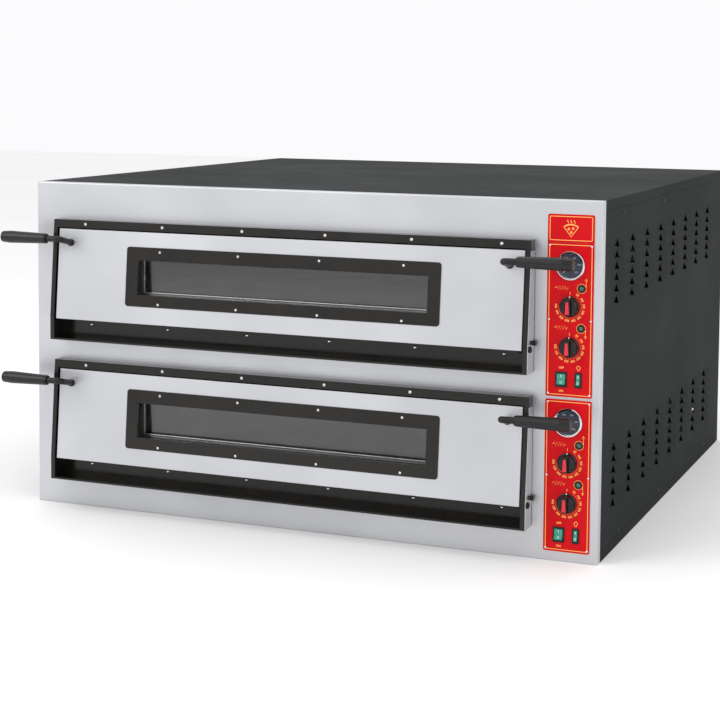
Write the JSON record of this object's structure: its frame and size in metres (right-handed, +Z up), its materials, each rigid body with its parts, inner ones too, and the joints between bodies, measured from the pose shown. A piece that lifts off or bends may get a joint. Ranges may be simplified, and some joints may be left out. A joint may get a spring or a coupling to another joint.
{
  "type": "pizza oven",
  "caption": "Double-deck electric pizza oven with bottom-hinged windowed doors, side handles, red control panels and louvred side.",
  "frame": {"origin": "centre of the oven casing's underside", "axes": "+Z up, -Y towards the user in front of the doors, +X to the user's right, the control side"},
  "size_m": [1.3875, 1.444, 0.75],
  "materials": {
    "brushed_stainless": "brushed",
    "bright_stainless": "bright",
    "inner_steel": "mill",
    "chamber_steel": "heat-dulled",
    "element_sheath": "oxidised",
    "screw_steel": "bright",
    "dial_metal": "polished",
    "dark_casing": "satin",
    "black_enamel": "gloss",
    "black_oxide_steel": "satin",
    "red_lacquer": "satin",
    "black_plastic": "gloss",
    "grip_plastic": "satin",
    "green_rocker": "gloss",
    "green_lens": "gloss",
    "needle_white": "satin",
    "terminal_plastic": "matte",
    "clear_glass": "clear",
    "lamp_glass": "clear",
    "refractory_stone": "porous ceramic",
    "mineral_wool": "fibrous",
    "glass_braid": "braided"
  },
  "bodies": {
    "oven": {"base_tray": "dark_casing", "cable_gland": "black_plastic", "chamber_lamps": "lamp_glass", "chamber_shell_lower": "chamber_steel", "chamber_shell_upper": "chamber_steel", "cheek_plates": "bright_stainless", "compartment_wall": "inner_steel", "control_plate_lower": "red_lacquer", "control_plate_upper": "red_lacquer", "cover_screws": "black_oxide_steel", "deck_divider": "inner_steel", "door_surround_lower": "black_enamel", "door_surround_upper": "black_enamel", "front_fascia": "brushed_stainless", "header_plate": "red_lacquer", "hearth_stones_lower": "refractory_stone", "hearth_stones_upper": "refractory_stone", "heating_elements_lower": "element_sheath", "heating_elements_upper": "element_sheath", "hinge_bolts": "black_oxide_steel", "insulation_lower": "mineral_wool", "insulation_upper": "mineral_wool", "left_side_cover": "dark_casing", "mouth_seals": "glass_braid", "pilot_lamp_bezels": "black_plastic", "pilot_lamp_lenses": "green_lens", "plate_screws": "screw_steel", "rear_cover": "dark_casing", "right_side_cover": "dark_casing", "surround_screws": "screw_steel", "switch_frames": "black_plastic", "terminal_block": "terminal_plastic", "thermometer_cases": "dial_metal", "thermometer_glasses": "clear_glass", "thermostat_bodies": "inner_steel", "top_cover": "dark_casing"},
    "door_lower": {"door_panel_lower": "brushed_stainless", "door_pan_lower": "black_enamel", "window_bezel_lower": "black_enamel", "window_glass_lower": "clear_glass", "bezel_screws_lower": "screw_steel", "handle_rods_lower": "black_oxide_steel", "handle_grips_lower": "grip_plastic"},
    "needle_lower": {"thermometer_needle_lower": "needle_white"},
    "knob_lower_1": {"thermostat_knob_lower_1": "black_plastic"},
    "knob_lower_2": {"thermostat_knob_lower_2": "black_plastic"},
    "power_switch_lower": {"power_rocker_lower": "green_rocker"},
    "light_switch_lower": {"light_rocker_lower": "green_rocker"},
    "door_upper": {"door_panel_upper": "brushed_stainless", "door_pan_upper": "black_enamel", "window_bezel_upper": "black_enamel", "window_glass_upper": "clear_glass", "bezel_screws_upper": "screw_steel", "handle_rods_upper": "black_oxide_steel", "handle_grips_upper": "grip_plastic"},
    "needle_upper": {"thermometer_needle_upper": "needle_white"},
    "knob_upper_1": {"thermostat_knob_upper_1": "black_plastic"},
    "knob_upper_2": {"thermostat_knob_upper_2": "black_plastic"},
    "power_switch_upper": {"power_rocker_upper": "green_rocker"},
    "light_switch_upper": {"light_rocker_upper": "green_rocker"}
  },
  "joints": [
    {"name": "door_hinge_lower", "type": "hinge", "parent": "oven", "child": "door_lower", "pos_m": [-0.04, -0.695, 0.118], "axis": [1, 0, 0], "range_deg": [0, 90]},
    {"name": "needle_turn_lower", "type": "hinge", "parent": "oven", "child": "needle_lower", "pos_m": [0.604, -0.665, 0.292], "axis": [0, 1, 0], "range_deg": [0, 270]},
    {"name": "knob_turn_lower_1", "type": "hinge", "parent": "oven", "child": "knob_lower_1", "pos_m": [0.604, -0.665, 0.208], "axis": [0, 1, 0], "range_deg": [0, 270]},
    {"name": "knob_turn_lower_2", "type": "hinge", "parent": "oven", "child": "knob_lower_2", "pos_m": [0.604, -0.665, 0.124], "axis": [0, 1, 0], "range_deg": [0, 270]},
    {"name": "power_rock_lower", "type": "hinge", "parent": "oven", "child": "power_switch_lower", "pos_m": [0.588, -0.665, 0.057], "axis": [1, 0, 0], "range_deg": [0, 18]},
    {"name": "light_rock_lower", "type": "hinge", "parent": "oven", "child": "light_switch_lower", "pos_m": [0.624, -0.665, 0.057], "axis": [1, 0, 0], "range_deg": [0, 18]},
    {"name": "door_hinge_upper", "type": "hinge", "parent": "oven", "child": "door_upper", "pos_m": [-0.04, -0.695, 0.442], "axis": [1, 0, 0], "range_deg": [0, 90]},
    {"name": "needle_turn_upper", "type": "hinge", "parent": "oven", "child": "needle_upper", "pos_m": [0.604, -0.665, 0.616], "axis": [0, 1, 0], "range_deg": [0, 270]},
    {"name": "knob_turn_upper_1", "type": "hinge", "parent": "oven", "child": "knob_upper_1", "pos_m": [0.604, -0.665, 0.532], "axis": [0, 1, 0], "range_deg": [0, 270]},
    {"name": "knob_turn_upper_2", "type": "hinge", "parent": "oven", "child": "knob_upper_2", "pos_m": [0.604, -0.665, 0.448], "axis": [0, 1, 0], "range_deg": [0, 270]},
    {"name": "power_rock_upper", "type": "hinge", "parent": "oven", "child": "power_switch_upper", "pos_m": [0.588, -0.665, 0.381], "axis": [1, 0, 0], "range_deg": [0, 18]},
    {"name": "light_rock_upper", "type": "hinge", "parent": "oven", "child": "light_switch_upper", "pos_m": [0.624, -0.665, 0.381], "axis": [1, 0, 0], "range_deg": [0, 18]}
  ]
}
